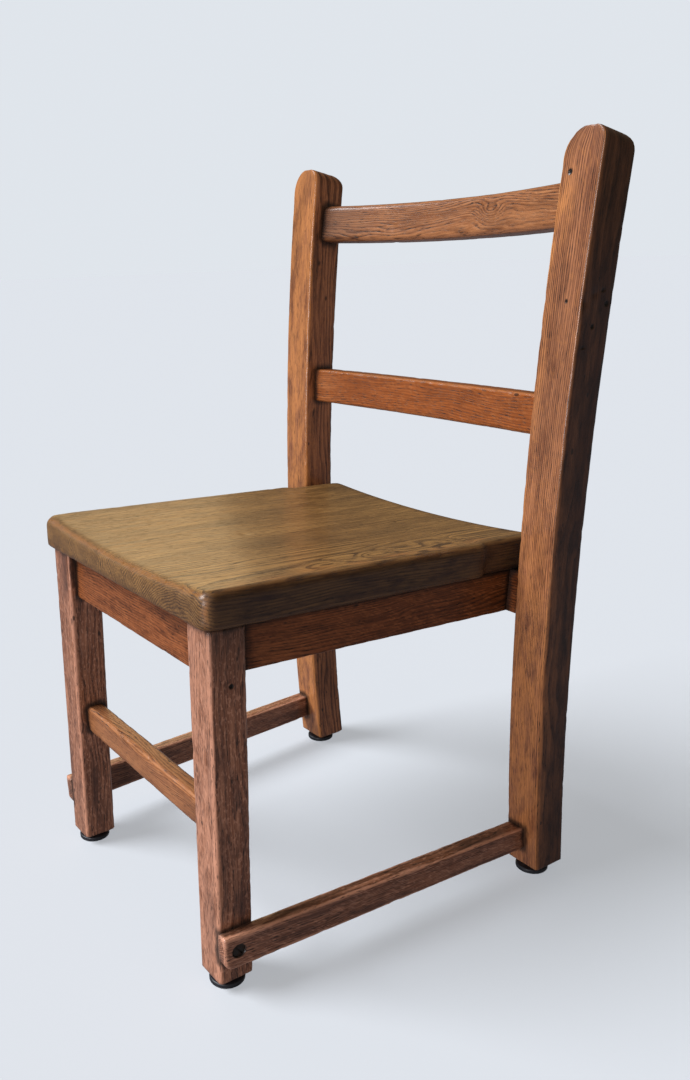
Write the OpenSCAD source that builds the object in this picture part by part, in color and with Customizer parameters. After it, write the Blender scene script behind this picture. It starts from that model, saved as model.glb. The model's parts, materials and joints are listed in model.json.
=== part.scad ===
// Child's oak chair: solid dished seat, bent back posts, two back rails, boxed seat frame,
// a high front stretcher, two low side stretchers screwed to the front legs, and rubber glides.
// The chair faces -Y and the sitter's left is +X. Z is up and the glides stand on Z = 0.

/* [Seat] */
// Width of the seat board
seat_w = 284; // [270:1:290]
// Front edge to back edge of the seat board
seat_d = 326; // [310:1:335]
// Thickness of the seat board at its sides
seat_t = 28; // [22:1:34]
// Depth of the hollow along the middle of the seat
seat_dish = 6.5; // [0:0.5:9]
// Height of the underside of the seat at its front edge
seat_h = 300; // [285:1:315]
// Backward slope of the seat and its frame, in degrees
seat_tilt = 2.9; // [0:0.1:4]
// How far the seat is cut in beside each back post
seat_notch = 5; // [2:0.5:8]

/* [Front legs] */
// Side of the square front leg
leg_w = 30; // [27:1:34]
// Distance between the outer faces of the front legs at the seat
legs_across = 271; // [262:1:278]
// How far each leg spreads to the side at the floor
leg_spread = 7.3; // [0:0.1:10]
// How far each leg reaches forward at the floor
leg_reach = 11; // [0:0.5:14]

/* [Back posts] */
// Width of a back post
post_w = 35; // [32:1:38]
// Depth of a back post, front to back
post_d = 33; // [30:1:35]
// Height of the top of the back posts
post_h = 606; // [590:1:620]
// Clear distance between the back posts
posts_apart = 293; // [290:1:298]
// Height at which the bent posts come furthest forward
bend_h = 295; // [285:1:320]
// How far the top of a post lies behind its foremost point
top_back = 17.5; // [12:0.5:22]

/* [Rails] */
// Height of the two back rails, top edge to bottom edge
rail_h = 31.5; // [26:0.5:36]
// Thickness of the back rails
rail_t = 17; // [14:1:19]
// Height of the middle of the top rail
top_rail_z = 559; // [550:0.5:565]
// How far the middle of the top rail bows back
top_rail_bow = 19; // [4:1:22]
// How much more the top rail leans back than the posts, in degrees
top_rail_lean = 4; // [0:0.5:6]
// Height of the middle of the lower back rail
mid_rail_z = 410; // [395:1:425]
// How far the middle of the lower back rail bows back
mid_rail_bow = 6; // [3:1:12]
// Depth of the front apron below the seat
front_apron_h = 42; // [36:1:46]
// Depth of the side and rear aprons below the seat
side_apron_h = 37; // [34:1:42]
// Thickness of all four aprons
apron_t = 20; // [18:1:22]

/* [Stretchers and feet] */
// Height of the bottom of the front stretcher
front_bar_z = 122.5; // [105:0.5:145]
// Height of the front stretcher, bottom edge to top edge
front_bar_h = 27; // [22:1:32]
// Thickness of the front stretcher
front_bar_t = 17; // [14:1:19]
// Diameter of the rubber glides
glide_dia = 29; // [24:1:29]
// Thickness of the rubber glides
glide_t = 4.5; // [4:0.1:6]

/* [Hidden] */
$fn = 48;
arc_fn = 1440; // for the long shallow arcs of the posts, the rails and the seat
seat_front = -161;
seat_corner = 11;
notch_lead = 27; // how far ahead of the posts the notch starts
arris = 4;
foot_bevel = 5;
post_top_wide_r = 19; // rounder corner of a post's top seen from the front
post_top_tight_r = 10; // its tighter corner
post_top_tilt = 11.5; // how far a post's top falls backwards
post_back_r = 12; // back corner of a post's top seen from the side
leg_top_x = legs_across / 2;
leg_top_y = seat_front + 6.7;
leg_len = seat_h + 12;
leg_lean = atan(leg_reach / seat_h);
leg_splay = atan(leg_spread / seat_h);
post_x = posts_apart / 2;
post_y = 131; // front face of the posts at the bend
post_r = pow(post_h - bend_h, 2) / (2 * top_back);
rail_set_back = 10;
rail_tenon = 14;
top_rail_edge = 4.5;
mid_rail_edge = 3;
front_apron_y = leg_top_y + 7.3;
side_apron_x = leg_top_x - 2.5;
rear_apron_y = post_y + 7;
tenon_t = 8;
side_bar_front = -164.5;
side_bar_end_y = post_y + 16;
bar_tenon = [9, 12, 16];
bar_tenon_z = 29;
screw_head_x = 150.8;
screw_y = -152;
screw_z = 43;
screw_head_r = 5.4;
seat_screw_bore = 22; // depth of the pocket under each seat screw
seat_screw_x = 62;
side_screw_y = 160;
nail_len = 18;

// Front face of a back post at height z: one long arc
function post_front(z) = post_y + post_r - sqrt(post_r * post_r - pow(z - bend_h, 2));
// Centre of a front leg at height z, left side
function leg_mid(z) = [leg_top_x - leg_w / 2 + leg_spread * (1 - z / seat_h),
                       leg_top_y + leg_w / 2 - leg_reach * (1 - z / seat_h)];
// Where the glide sits under a back post, a little ahead of the post's middle
function post_foot() = [post_x + post_w / 2, post_front(0) + post_d / 2 - 4];

// Lean of the post's front face at height z, in degrees
function post_lean(z) = asin((z - bend_h) / post_r);
// Lean of a rail at height z; only the top rail leans more than its posts
function rail_lean(z) = post_lean(z) + (z == top_rail_z ? top_rail_lean : 0);
// Foremost and rearmost points of the chair: the toe of a front leg and the bow of the top rail
toe_y = leg_mid(glide_t + foot_bevel)[1] - leg_w / 2;
bow_y = post_front(top_rail_z) + rail_set_back + top_rail_edge
        + (top_rail_bow + rail_t - top_rail_edge) * cos(rail_lean(top_rail_z))
        + (rail_h / 2 - top_rail_edge) * sin(rail_lean(top_rail_z));

// Puts the origin under the middle of the whole depth
module placed() {
    translate([0, -(toe_y + bow_y) / 2, 0])
        children();
}

// Child 0 on the left side, or mirrored to the right side
module on_side(side) {
    mirror([side > 0 ? 0 : 1, 0, 0])
        children();
}

// Rectangle from a corner, with its four corners rounded
module rounded_rect(w, h, r) {
    union() {
        translate([r, 0])
            square([w - 2 * r, h]);
        translate([0, r])
            square([w, h - 2 * r]);
        for (x = [r, w - r])
            for (y = [r, h - r])
                translate([x, y])
                    circle(r);
    }
}

// Board section with top corners of radius r_top and bottom corners of radius r_low
module board_section(w, h, r_top, r_low) {
    union() {
        translate([0, r_low])
            square([w, h - r_low - r_top]);
        translate([r_low, 0])
            square([w - 2 * r_low, h - r_top]);
        translate([r_top, r_low])
            square([w - 2 * r_top, h - r_low]);
        for (x = [r_low, w - r_low])
            translate([x, r_low])
                circle(r_low);
        for (x = [r_top, w - r_top])
            translate([x, h - r_top])
                circle(r_top);
    }
}

// Side view turned so that the sketch's X is depth, its Y is height, and it spans x0 to x1
module side_view(x0, x1) {
    translate([x0, 0, 0])
        rotate([90, 0, 90])
            linear_extrude(x1 - x0)
                children();
}

// Front view turned so that the sketch's X is width, its Y is height, and it spans y0 to y1
module front_view(y0, y1) {
    translate([0, y1, 0])
        rotate([90, 0, 0])
            linear_extrude(y1 - y0)
                children();
}

// Box given by its low and high corners
module span(low, high) {
    translate(low)
        cube(high - low);
}

// The seat frame's own tilted space: Z = 0 is the underside of the seat, Y = 0 its front edge
module in_seat_frame() {
    translate([0, seat_front, seat_h])
        rotate([-seat_tilt, 0, 0])
            children();
}

module bevelled_foot(w, h, bevel) {
    polygon([[bevel, 0], [w - bevel, 0], [w, bevel], [w, h], [0, h], [0, bevel]]);
}

// ---- front legs ----

module leg_stock() {
    translate([leg_top_x, leg_top_y, seat_h])
        rotate([-leg_lean, -leg_splay, 0])
            translate([-leg_w, 0, glide_t - seat_h])
                intersection() {
                    linear_extrude(leg_len)
                        rounded_rect(leg_w, leg_w, arris);
                    front_view(-1, leg_w + 1)
                        bevelled_foot(leg_w, leg_len, foot_bevel);
                    side_view(-1, leg_w + 1)
                        bevelled_foot(leg_w, leg_len, foot_bevel);
                }
}

// The leg cut level at the glide and along the underside of the seat
module leg_blank() {
    difference() {
        leg_stock();
        in_seat_frame()
            translate([0, -30, 0])
                cube([400, 120, 60]);
        span([0, -300, -20], [300, 0, glide_t]);
    }
}

module front_apron_tenon() {
    in_seat_frame()
        span([leg_top_x - leg_w - 6, front_apron_y - seat_front + 6, -front_apron_h + 6],
             [leg_top_x - leg_w + 12, front_apron_y - seat_front + 6 + tenon_t, -6]);
}

module side_apron_tenon() {
    y1 = leg_top_y + leg_w - seat_front;
    in_seat_frame()
        span([side_apron_x - 14, y1 - 12, -side_apron_h + 6],
             [side_apron_x - 14 + tenon_t, y1 + 8, -6]);
}

module front_bar_tenon() {
    at = leg_mid(front_bar_z + front_bar_h / 2);
    span([at[0] - leg_w / 2 - 8, at[1] - 1, front_bar_z + 5],
         [at[0] - leg_w / 2 + 13, at[1] + 8, front_bar_z + front_bar_h - 5]);
}

module front_leg(side) {
    color("sienna")
        placed()
            on_side(side)
                difference() {
                    leg_blank();
                    front_apron_tenon();
                    side_apron_tenon();
                    front_bar_tenon();
                    side_bar_blank(side);
                    stretcher_screw();
                    nail(leg_mid(0));
                }
}

// ---- back posts ----

// The bent stock of a post, swept about an axis far behind the chair and longer than the post
module post_stock() {
    low_angle = ceil(asin(bend_h / (post_r - post_d))) + 1;
    high_angle = ceil(asin((post_h - bend_h) / (post_r - post_d))) + 1;
    translate([post_x, post_y + post_r, bend_h])
        rotate([90, 0, -90])
            rotate([0, 0, -low_angle])
                rotate_extrude(angle = low_angle + high_angle, $fn = arc_fn)
                    translate([post_r - post_d, -post_w])
                        rounded_rect(post_d, post_w, arris, $fn = 32);
}

// Front view of a post: bevelled at the foot, its top rounded more on the chair's right-hand side
module post_front_view(side) {
    inner_r = side > 0 ? post_top_wide_r : post_top_tight_r;
    outer_r = side > 0 ? post_top_tight_r : post_top_wide_r;
    side_len = post_h - glide_t - post_top_wide_r;
    lower_r = min(inner_r, outer_r);
    union() {
        translate([post_x, glide_t])
            bevelled_foot(post_w, side_len, foot_bevel);
        translate([post_x + inner_r, post_h - 2 * post_top_wide_r])
            square([post_w - inner_r - outer_r, 2 * post_top_wide_r]);
        translate([post_x + (side > 0 ? post_w - outer_r - 2 : 0), post_h - 2 * post_top_wide_r])
            square([lower_r + 2, 2 * post_top_wide_r - lower_r]);
        translate([post_x + inner_r, post_h - inner_r])
            circle(inner_r);
        translate([post_x + post_w - outer_r, post_h - outer_r])
            circle(outer_r);
    }
}

// Side view of a post: bevelled at the foot, its top falling to a rounded back corner
module post_side_view() {
    low = post_front(glide_t) + foot_bevel;
    low_back = post_front(glide_t) + post_d - foot_bevel;
    clear = 60; // carries the bevels and the top well past the faces of the post
    fall = tan(post_top_tilt);
    round_y = post_front(post_h) + post_d - post_back_r;
    round_z = post_h - fall * (post_d - post_back_r) - post_back_r / cos(post_top_tilt);
    touch = [round_y, round_z] + post_back_r * [sin(post_top_tilt), cos(post_top_tilt)];
    over = low - clear;
    union() {
        polygon([[low, glide_t], [low_back, glide_t], [low_back + clear, glide_t + clear],
                 [low_back + clear, round_z], [over, round_z], [over, glide_t + clear]]);
        polygon([[over, round_z - post_back_r / 2], [round_y, round_z - post_back_r / 2], touch,
                 [over, touch[1] + fall * (touch[0] - over)]]);
        translate([round_y, round_z])
            circle(post_back_r);
    }
}

module post_blank(side = 1) {
    intersection() {
        post_stock();
        front_view(0, 300)
            post_front_view(side);
        side_view(0, 300)
            post_side_view();
    }
}

module rear_apron_tenon() {
    y0 = rear_apron_y - seat_front + 6;
    in_seat_frame()
        span([post_x - 8, y0, -side_apron_h + 6], [post_x + 18, y0 + tenon_t, -6]);
}

module side_bar_tenon(side) {
    low = [post_x + (side > 0 ? 5 : 21), post_front(screw_z) - 6, bar_tenon_z];
    span(low, low + bar_tenon + [0, 6, 0]);
}

module rear_post(side) {
    color("saddlebrown")
        placed()
            on_side(side)
                difference() {
                    post_blank(side);
                    rail_tenon_at(top_rail_z);
                    rail_tenon_at(mid_rail_z);
                    rear_apron_tenon();
                    side_bar_tenon(side);
                    nail(post_foot());
                }
}

// ---- back rails ----

// A rail standing at height z with its front face behind the posts' front face
module at_rail(z) {
    translate([0, post_front(z) + rail_set_back, z])
        rotate([-rail_lean(z), 0, 0])
            children();
}

module rail_tenon_at(z) {
    at_rail(z)
        span([post_x - 8, 4, -rail_h / 2 + 6], [post_x + rail_tenon, 4 + tenon_t, rail_h / 2 - 6]);
}

// Plan of a bowed rail: a band between two arcs, rounded along its long edges by edge_r
module bowed_rail(z, bow, edge_r) {
    half = post_x + 4;
    r = (half * half + bow * bow) / (2 * bow);
    turn = asin(half / r);
    union() {
        difference() {
            at_rail(z)
                translate([0, bow - r, 0])
                    rotate([0, 0, 90 - turn])
                        rotate_extrude(angle = 2 * turn, $fn = arc_fn)
                            translate([r, -rail_h / 2])
                                rounded_rect(rail_t, rail_h, edge_r, $fn = 32);
            for (side = [-1, 1])
                on_side(side)
                    post_blank();
        }
        for (side = [-1, 1])
            on_side(side)
                rail_tenon_at(z);
    }
}

module top_rail() {
    color("peru")
        placed()
            bowed_rail(top_rail_z, top_rail_bow, top_rail_edge);
}

module mid_rail() {
    color("chocolate")
        placed()
            bowed_rail(mid_rail_z, mid_rail_bow, mid_rail_edge);
}

// ---- seat frame ----

module front_apron() {
    y0 = front_apron_y - seat_front;
    half = leg_top_x - leg_w / 2;
    color("brown")
        placed()
            difference() {
                union() {
                    difference() {
                        in_seat_frame()
                            span([-half, y0, -front_apron_h], [half, y0 + apron_t, 0]);
                        for (side = [-1, 1])
                            on_side(side)
                                leg_stock();
                    }
                    for (side = [-1, 1])
                        on_side(side)
                            front_apron_tenon();
                }
                for (x = [-seat_screw_x, seat_screw_x])
                    seat_screw_hole([x, y0 + apron_t / 2], front_apron_h);
            }
}

module rear_apron() {
    y0 = rear_apron_y - seat_front;
    color("brown")
        placed()
            difference() {
                union() {
                    in_seat_frame()
                        span([-post_x, y0, -side_apron_h], [post_x, y0 + apron_t, 0]);
                    for (side = [-1, 1])
                        on_side(side)
                            rear_apron_tenon();
                }
                for (side = [-1, 1])
                    on_side(side)
                        side_apron_rear_tenon();
                for (x = [-seat_screw_x, seat_screw_x])
                    seat_screw_hole([x, y0 + apron_t / 2], side_apron_h);
            }
}

module side_apron_rear_tenon() {
    y1 = rear_apron_y - seat_front;
    in_seat_frame()
        span([side_apron_x - 14, y1 - 8, -side_apron_h + 6],
             [side_apron_x - 14 + tenon_t, y1 + 10, -6]);
}

module side_apron(side) {
    color("saddlebrown")
        placed()
            on_side(side)
                difference() {
                    union() {
                        difference() {
                            in_seat_frame()
                                span([side_apron_x - apron_t, leg_top_y + leg_w / 2 - seat_front,
                                      -side_apron_h],
                                     [side_apron_x, rear_apron_y - seat_front, 0]);
                            leg_stock();
                        }
                        side_apron_tenon();
                        side_apron_rear_tenon();
                    }
                    seat_screw_hole([side_apron_x - apron_t / 2, side_screw_y], side_apron_h);
                }
}

// ---- seat ----

module seat() {
    half = seat_w / 2;
    dish_r = (half * half + seat_dish * seat_dish) / (2 * seat_dish);
    color("burlywood")
        placed()
            difference() {
                in_seat_frame()
                    intersection() {
                        front_view(-1, seat_d + 1)
                            difference() {
                                translate([-half, 0])
                                    board_section(seat_w, seat_t, 7, 3);
                                translate([0, seat_t - seat_dish + dish_r])
                                    circle(dish_r, $fn = arc_fn);
                            }
                        side_view(-half - 1, half + 1)
                            board_section(seat_d, seat_t, 9, 3);
                        linear_extrude(seat_t)
                            seat_plan(half);
                    }
                each_seat_screw()
                    seat_screw_body($depth);
            }
}

// Rounded corners all round, and a shallow notch beside each post
module seat_plan(half) {
    notch_y = post_y - notch_lead - seat_front;
    union() {
        translate([-half, 0])
            rounded_rect(seat_w, notch_y, seat_corner);
        translate([-half, 40])
            square([seat_w, notch_y - 40]);
        translate([-half + seat_notch, 40])
            rounded_rect(seat_w - 2 * seat_notch, seat_d - 40, seat_corner);
    }
}

// ---- stretchers ----

module front_stretcher() {
    at = leg_mid(front_bar_z + front_bar_h / 2);
    color("goldenrod")
        placed()
            union() {
                difference() {
                    translate([-leg_top_x + 6, at[1] - leg_w / 2 + 9, front_bar_z])
                        rotate([90, 0, 90])
                            linear_extrude(2 * leg_top_x - 12)
                                rounded_rect(front_bar_t, front_bar_h, 4.5);
                    for (side = [-1, 1])
                        on_side(side)
                            leg_stock();
                }
                for (side = [-1, 1])
                    on_side(side)
                        front_bar_tenon();
            }
}

// Plan corners of a low side stretcher: the left one ends on the inner half of its post,
// the right one on the outer half
function bar_plan(side) =
    side > 0
        ? [[139.5, side_bar_front], [151.5, side_bar_front], [167, side_bar_end_y], [149, side_bar_end_y]]
        : [[139.5, side_bar_front], [152, side_bar_front], [181, side_bar_end_y], [165.5, side_bar_end_y]];
function bar_heights(side) = side > 0 ? [27, 57, 48, 26] : [32, 62, 57, 31];

module side_bar_blank(side) {
    z = bar_heights(side);
    intersection() {
        linear_extrude(120)
            polygon(bar_plan(side));
        side_view(100, 200)
            union() {
                polygon([[side_bar_front + 8, z[0]], [side_bar_end_y, z[3]], [side_bar_end_y, z[2]],
                         [side_bar_front, z[1]], [side_bar_front, z[0] + 8]]);
                translate([side_bar_front + 8, z[0] + 8])
                    circle(8);
            }
    }
}

module side_stretcher(side) {
    color("rosybrown")
        placed()
            on_side(side)
                difference() {
                    union() {
                        difference() {
                            side_bar_blank(side);
                            post_blank();
                        }
                        side_bar_tenon(side);
                    }
                    stretcher_screw();
                }
}

// ---- fasteners ----

// Countersunk slotted screw through the front end of a low stretcher into the leg
module stretcher_screw() {
    translate([screw_head_x, screw_y, screw_z])
        rotate([0, -90, 0])
            union() {
                cylinder(h = 1, r = screw_head_r);
                translate([0, 0, 1])
                    cylinder(h = 3.4, r1 = screw_head_r, r2 = 2.2);
                cylinder(h = 28, r = 2.2);
            }
}

module stretcher_screws() {
    color("dimgray")
        placed()
            for (side = [-1, 1])
                on_side(side)
                    difference() {
                        stretcher_screw();
                        translate([screw_head_x, screw_y, screw_z])
                            rotate([35 * side, 0, 0])
                                cube([2.4, 1.4, 14], center = true);
                    }
}

module seat_screw_hole(at, depth) {
    in_seat_frame()
        translate([at[0], at[1], -depth])
            union() {
                translate([0, 0, -1])
                    cylinder(h = seat_screw_bore + 1, r = 4.5);
                cylinder(h = depth + 10, r = 2);
            }
}

module seat_screw_body(depth) {
    translate([0, 0, -2.4])
        cylinder(h = 2.4, r = 4);
    cylinder(h = depth - seat_screw_bore + 14, r = 2);
}

module at_seat_screw(x, y, depth) {
    $depth = depth;
    in_seat_frame()
        translate([x, y, seat_screw_bore - depth])
            children();
}

// Its children at all six seat screws, with $depth set to the depth of the apron there
module each_seat_screw() {
    for (x = [-seat_screw_x, seat_screw_x]) {
        at_seat_screw(x, front_apron_y - seat_front + apron_t / 2, front_apron_h)
            children();
        at_seat_screw(x, rear_apron_y - seat_front + apron_t / 2, side_apron_h)
            children();
    }
    for (side = [-1, 1])
        at_seat_screw(side * (side_apron_x - apron_t / 2), side_screw_y, side_apron_h)
            children();
}

module seat_screws() {
    color("dimgray")
        placed()
            each_seat_screw()
                difference() {
                    seat_screw_body($depth);
                    translate([0, 0, -2.4])
                        cube([12, 1.2, 1.8], center = true);
                }
}

// ---- feet ----

// Nail through a glide up into the end grain; at is the plan position of the foot
module nail(at) {
    translate([at[0], at[1], 1.6])
        union() {
            cylinder(h = 1.2, r = 3.6);
            cylinder(h = nail_len, r = 1.2);
        }
}

module glide(at, side) {
    color("#1c1f24")
        placed()
            on_side(side)
                difference() {
                    translate([at[0], at[1], 0])
                        rotate_extrude()
                            union() {
                                square([glide_dia / 2 - 1.2, glide_t]);
                                translate([0, 1.2])
                                    square([glide_dia / 2, glide_t - 2.4]);
                                for (z = [1.2, glide_t - 1.2])
                                    translate([glide_dia / 2 - 1.2, z])
                                        circle(1.2);
                            }
                    nail(at);
                    translate([at[0], at[1], -1])
                        cylinder(h = 3, r = 3.6);
                }
}

module glide_nails() {
    color("silver")
        placed()
            for (side = [-1, 1])
                on_side(side)
                    for (at = [leg_mid(0), post_foot()])
                        nail(at);
}

seat();
front_leg(1);  // front_leg_left
front_leg(-1);  // front_leg_right
rear_post(1);  // rear_post_left
rear_post(-1);  // rear_post_right
top_rail();
mid_rail();
front_apron();
rear_apron();
side_apron(1);  // side_apron_left
side_apron(-1);  // side_apron_right
front_stretcher();
side_stretcher(1);  // side_stretcher_left
side_stretcher(-1);  // side_stretcher_right
stretcher_screws();
seat_screws();
glide(leg_mid(0), 1);  // glide_front_left
glide(leg_mid(0), -1);  // glide_front_right
glide(post_foot(), 1);  // glide_rear_left
glide(post_foot(), -1);  // glide_rear_right
glide_nails();
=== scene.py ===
"""Looks of a small oak school chair: worn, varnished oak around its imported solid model, in metres."""

import itertools
import json
import math

import bpy
import numpy as np
from mathutils import Matrix, Vector
from mathutils.bvhtree import BVHTree

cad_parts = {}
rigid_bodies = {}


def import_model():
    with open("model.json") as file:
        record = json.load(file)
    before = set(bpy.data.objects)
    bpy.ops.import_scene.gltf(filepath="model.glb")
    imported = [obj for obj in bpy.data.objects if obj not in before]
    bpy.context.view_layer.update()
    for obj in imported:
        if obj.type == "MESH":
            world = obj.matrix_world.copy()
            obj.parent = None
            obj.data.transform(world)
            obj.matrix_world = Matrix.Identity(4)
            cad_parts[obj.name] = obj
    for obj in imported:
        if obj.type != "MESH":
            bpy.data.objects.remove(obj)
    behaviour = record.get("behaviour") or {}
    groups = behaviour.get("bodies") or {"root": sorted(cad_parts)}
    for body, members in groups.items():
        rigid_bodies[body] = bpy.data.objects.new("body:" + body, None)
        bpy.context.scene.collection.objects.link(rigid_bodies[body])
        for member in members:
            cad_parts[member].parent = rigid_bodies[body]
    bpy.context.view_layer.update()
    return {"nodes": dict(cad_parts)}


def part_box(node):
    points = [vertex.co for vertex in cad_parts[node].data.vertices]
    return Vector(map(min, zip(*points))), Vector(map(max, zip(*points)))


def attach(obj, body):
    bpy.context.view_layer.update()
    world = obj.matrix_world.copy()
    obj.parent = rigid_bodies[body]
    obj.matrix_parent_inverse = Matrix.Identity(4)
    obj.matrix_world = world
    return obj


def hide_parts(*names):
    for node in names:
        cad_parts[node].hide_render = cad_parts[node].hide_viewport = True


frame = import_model()

MM = 0.001
SIDES = {"left": 1, "right": -1}
ARRIS_LINES = 5  # mesh lines across a rounded arris
SAME = 1e-6  # points closer than this are in the same place
TINY = 1e-9  # keeps a division by nothing away

# The chair's own lines, which its solids only show in parts
BEND_Z = 295 * MM  # height at which the posts come furthest forward
POST_DEPTH = 33 * MM
TOP_BACK = 17.5 * MM  # how far a post's top lies behind its foremost point
LEG_SIDE = 30 * MM
SEAT_Z = 300 * MM  # underside of the seat at its front edge
SEAT_TILT = math.radians(2.9)
SEAT_WIDTH, SEAT_DEPTH, SEAT_THICK = 284 * MM, 326 * MM, 28 * MM
SEAT_DISH = 6.5 * MM
SEAT_NOTCH = 5 * MM
NOTCH_Y = 265 * MM  # where the notch beside a post starts, from the seat's front edge
SEAT_CORNER = 11 * MM
SEAT_UNDER_ROUND = 3 * MM  # arris radius on the seat's underside
SEAT_GAP = 0.2 * MM  # between the seat's underside and the tops of the legs and aprons
RAIL_HEIGHT, RAIL_THICK, RAIL_SET_BACK = 31.5 * MM, 17 * MM, 10 * MM
FOOT_BEVEL = 5 * MM
HOUSED = 2.5 * MM  # how far a member runs into the one it joins
FULLER = 0.5 * MM  # posts and legs start this much larger all round, to be rounded and worn to their solids

POST_LOW, POST_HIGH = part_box("rear_post_left")
POST_FRONT = POST_LOW.y
POST_RADIUS = (POST_HIGH.z - BEND_Z) ** 2 / (2 * TOP_BACK)
POSTS_APART = 2 * POST_LOW.x
SEAT_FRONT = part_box("seat")[0].y - SEAT_UNDER_ROUND * math.sin(SEAT_TILT)


# ---- making a solid bar or board ----

def grid_lines(length, radius, step, fine=()):
    """Where the mesh lines lie along one side: close together in its rounded ends and around fine places."""
    ends = radius * np.linspace(0, 1, ARRIS_LINES)
    count = max(1, round((length - 2 * radius) / step))
    inner = np.linspace(radius, length - radius, count + 1)
    for middle, reach, gap in fine:
        inner = inner[abs(inner - middle) > reach + gap / 2]
        inner = np.sort(np.append(inner, np.arange(middle - reach, middle + reach + gap / 2, gap)))
    return np.concatenate([ends[:-1], inner, length - ends[-2::-1]])


def shell(size, radius, step, fine=((), (), ())):
    """A closed block with mesh lines on all six sides: its points, faces and distances to an arris."""
    size = np.array(size)
    lines = [grid_lines(*side) for side in zip(size, (radius,) * 3, step, fine)]
    outside = np.zeros([len(line) for line in lines], bool)
    for axis in range(3):
        np.moveaxis(outside, axis, 0)[[0, -1]] = True
    number = np.full(outside.shape, -1)
    number[outside] = np.arange(outside.sum())
    places = np.argwhere(outside)
    flat = np.stack([lines[axis][places[:, axis]] for axis in range(3)], 1)
    faces = []
    for axis, end in itertools.product(range(3), (0, -1)):
        sheet = np.take(number, end, axis=axis)
        quads = np.stack([sheet[:-1, :-1], sheet[1:, :-1], sheet[1:, 1:], sheet[:-1, 1:]], -1).reshape(-1, 4)
        faces.append(quads if (end == -1) != (axis == 1) else quads[:, ::-1])
    to_arris = np.sort(np.minimum(flat, size - flat), axis=1)[:, 1]
    return flat, np.concatenate(faces), to_arris


def round_off(flat, size, radius):
    """The block's points with all twelve arrises rounded by radius."""
    inner = np.clip(flat, radius, np.array(size) - radius)
    out = (flat - inner) / radius
    length = np.maximum(np.linalg.norm(out, axis=1), TINY)
    out *= (abs(out).max(1) / length)[:, None]
    return inner + out * radius


def lumps(points, size, seed):
    """Smooth random lumps about this far apart, from -1 to 1."""
    primes = np.array([73856093, 19349663, 83492791])
    stir, low_half = 2654435761, 0xFFFFFFFF
    cell = points / size + 31.7 * seed
    base = np.floor(cell).astype(np.int64)
    part = cell - base
    part = part * part * (3 - 2 * part)
    total = np.zeros(len(points))
    for corner in itertools.product((0, 1), repeat=3):
        mixed = (base + corner) * primes
        mixed = (mixed[:, 0] ^ mixed[:, 1] ^ mixed[:, 2]) & low_half
        mixed = (mixed * stir & low_half) >> 8
        weight = np.prod(np.where(corner, part, 1 - part), axis=1)
        total += weight * ((mixed & 0xFFFF) / 32767.5 - 1)
    return total


def mesh_object(name, points, faces):
    mesh = bpy.data.meshes.new(name)
    mesh.from_pydata(points.tolist(), [], faces.tolist())
    mesh.update()
    mesh.shade_smooth()
    piece = bpy.data.objects.new(name, mesh)
    bpy.context.scene.collection.objects.link(piece)
    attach(piece, "root")
    return piece


def read_points(mesh, what="co"):
    values = np.zeros(len(mesh.vertices) * 3)
    mesh.vertices.foreach_get(what, values)
    return values.reshape(-1, 3)


def add_layer(mesh, name, values):
    """Stores one value, or one vector, for each point of the mesh, for the materials to read."""
    values = np.asarray(values, np.float32)
    vector = values.ndim == 2
    layer = mesh.attributes.new(name, "FLOAT_VECTOR" if vector else "FLOAT", "POINT")
    layer.data.foreach_set("vector" if vector else "value", values.ravel())


def neighbours(node):
    """Search tree over every other solid of the chair."""
    points, faces = [], []
    for other, solid in frame["nodes"].items():
        if other == node or "screw" in other or "nail" in other or "glide" in other:
            continue
        start = len(points)
        points += [v.co.copy() for v in solid.data.vertices]
        faces += [[start + i for i in face.vertices] for face in solid.data.polygons]
    return BVHTree.FromPolygons(points, faces)


def crevices(node, points, reach=9 * MM):
    """How close each point is to another member, from 0 at reach to 1 where they touch."""
    tree = neighbours(node)
    close = np.zeros(len(points))
    for i, point in enumerate(points):
        found = tree.find_nearest(Vector(point), reach)
        if found[0] is not None:
            close[i] = 1 - found[3] / reach
    return close


def wear_down(mesh, board, to_arris, seed, nicks, depth=1.0):
    """Pushes the surface in by fractions of a millimetre: slow waves, ragged arrises and knocks."""
    arris_reach = 2.2 * MM
    points, normals = read_points(mesh), read_points(mesh, "normal")
    near_arris = np.exp(-to_arris / arris_reach)
    waves = 0.5 + 0.5 * lumps(board, 45 * MM, seed)
    ragged = np.clip(lumps(board, 14 * MM, seed + 1) + 0.8 * lumps(board, 4.5 * MM, seed + 2), 0, 2)
    sink = depth * MM * (0.16 * waves + near_arris * (0.15 + 0.45 * ragged))
    chance = 0.15 + near_arris
    rng = np.random.default_rng(seed)
    chosen = rng.choice(len(points), nicks, replace=False, p=chance / chance.sum())
    for i in chosen:
        reach = rng.uniform(1.6, 4.5) * MM
        away = (points - points[i]) * rng.uniform(0.6, 1.0, 3)
        sink += depth * rng.uniform(0.15, 0.5) * MM * np.exp(-((away / reach) ** 2).sum(1) * 2)
    mesh.vertices.foreach_set("co", (points - normals * sink[:, None]).ravel())
    mesh.update()


def on_faces(flat, size, faces, radius):
    """The amount given for each face of a block, fading out over its rounded arrises.

    faces lists (axis, end, amount); end 0 is the block's low side and 1 its high side.
    """
    total = np.zeros(len(flat))
    for axis, end, amount in faces:
        away = size[axis] - flat[:, axis] if end else flat[:, axis]
        total = np.maximum(total, amount * np.clip(1 - away / radius, 0, 1))
    return total


def in_spots(flat, spots, join=np.maximum):
    """Soft oval spots on a block: each is (middle, reach along each side, amount)."""
    total = np.zeros(len(flat))
    for middle, reach, amount in spots:
        away = (((flat - np.array(middle)) / np.array(reach)) ** 2).sum(1)
        total = join(total, amount * np.exp(-away))
    return total


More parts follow.
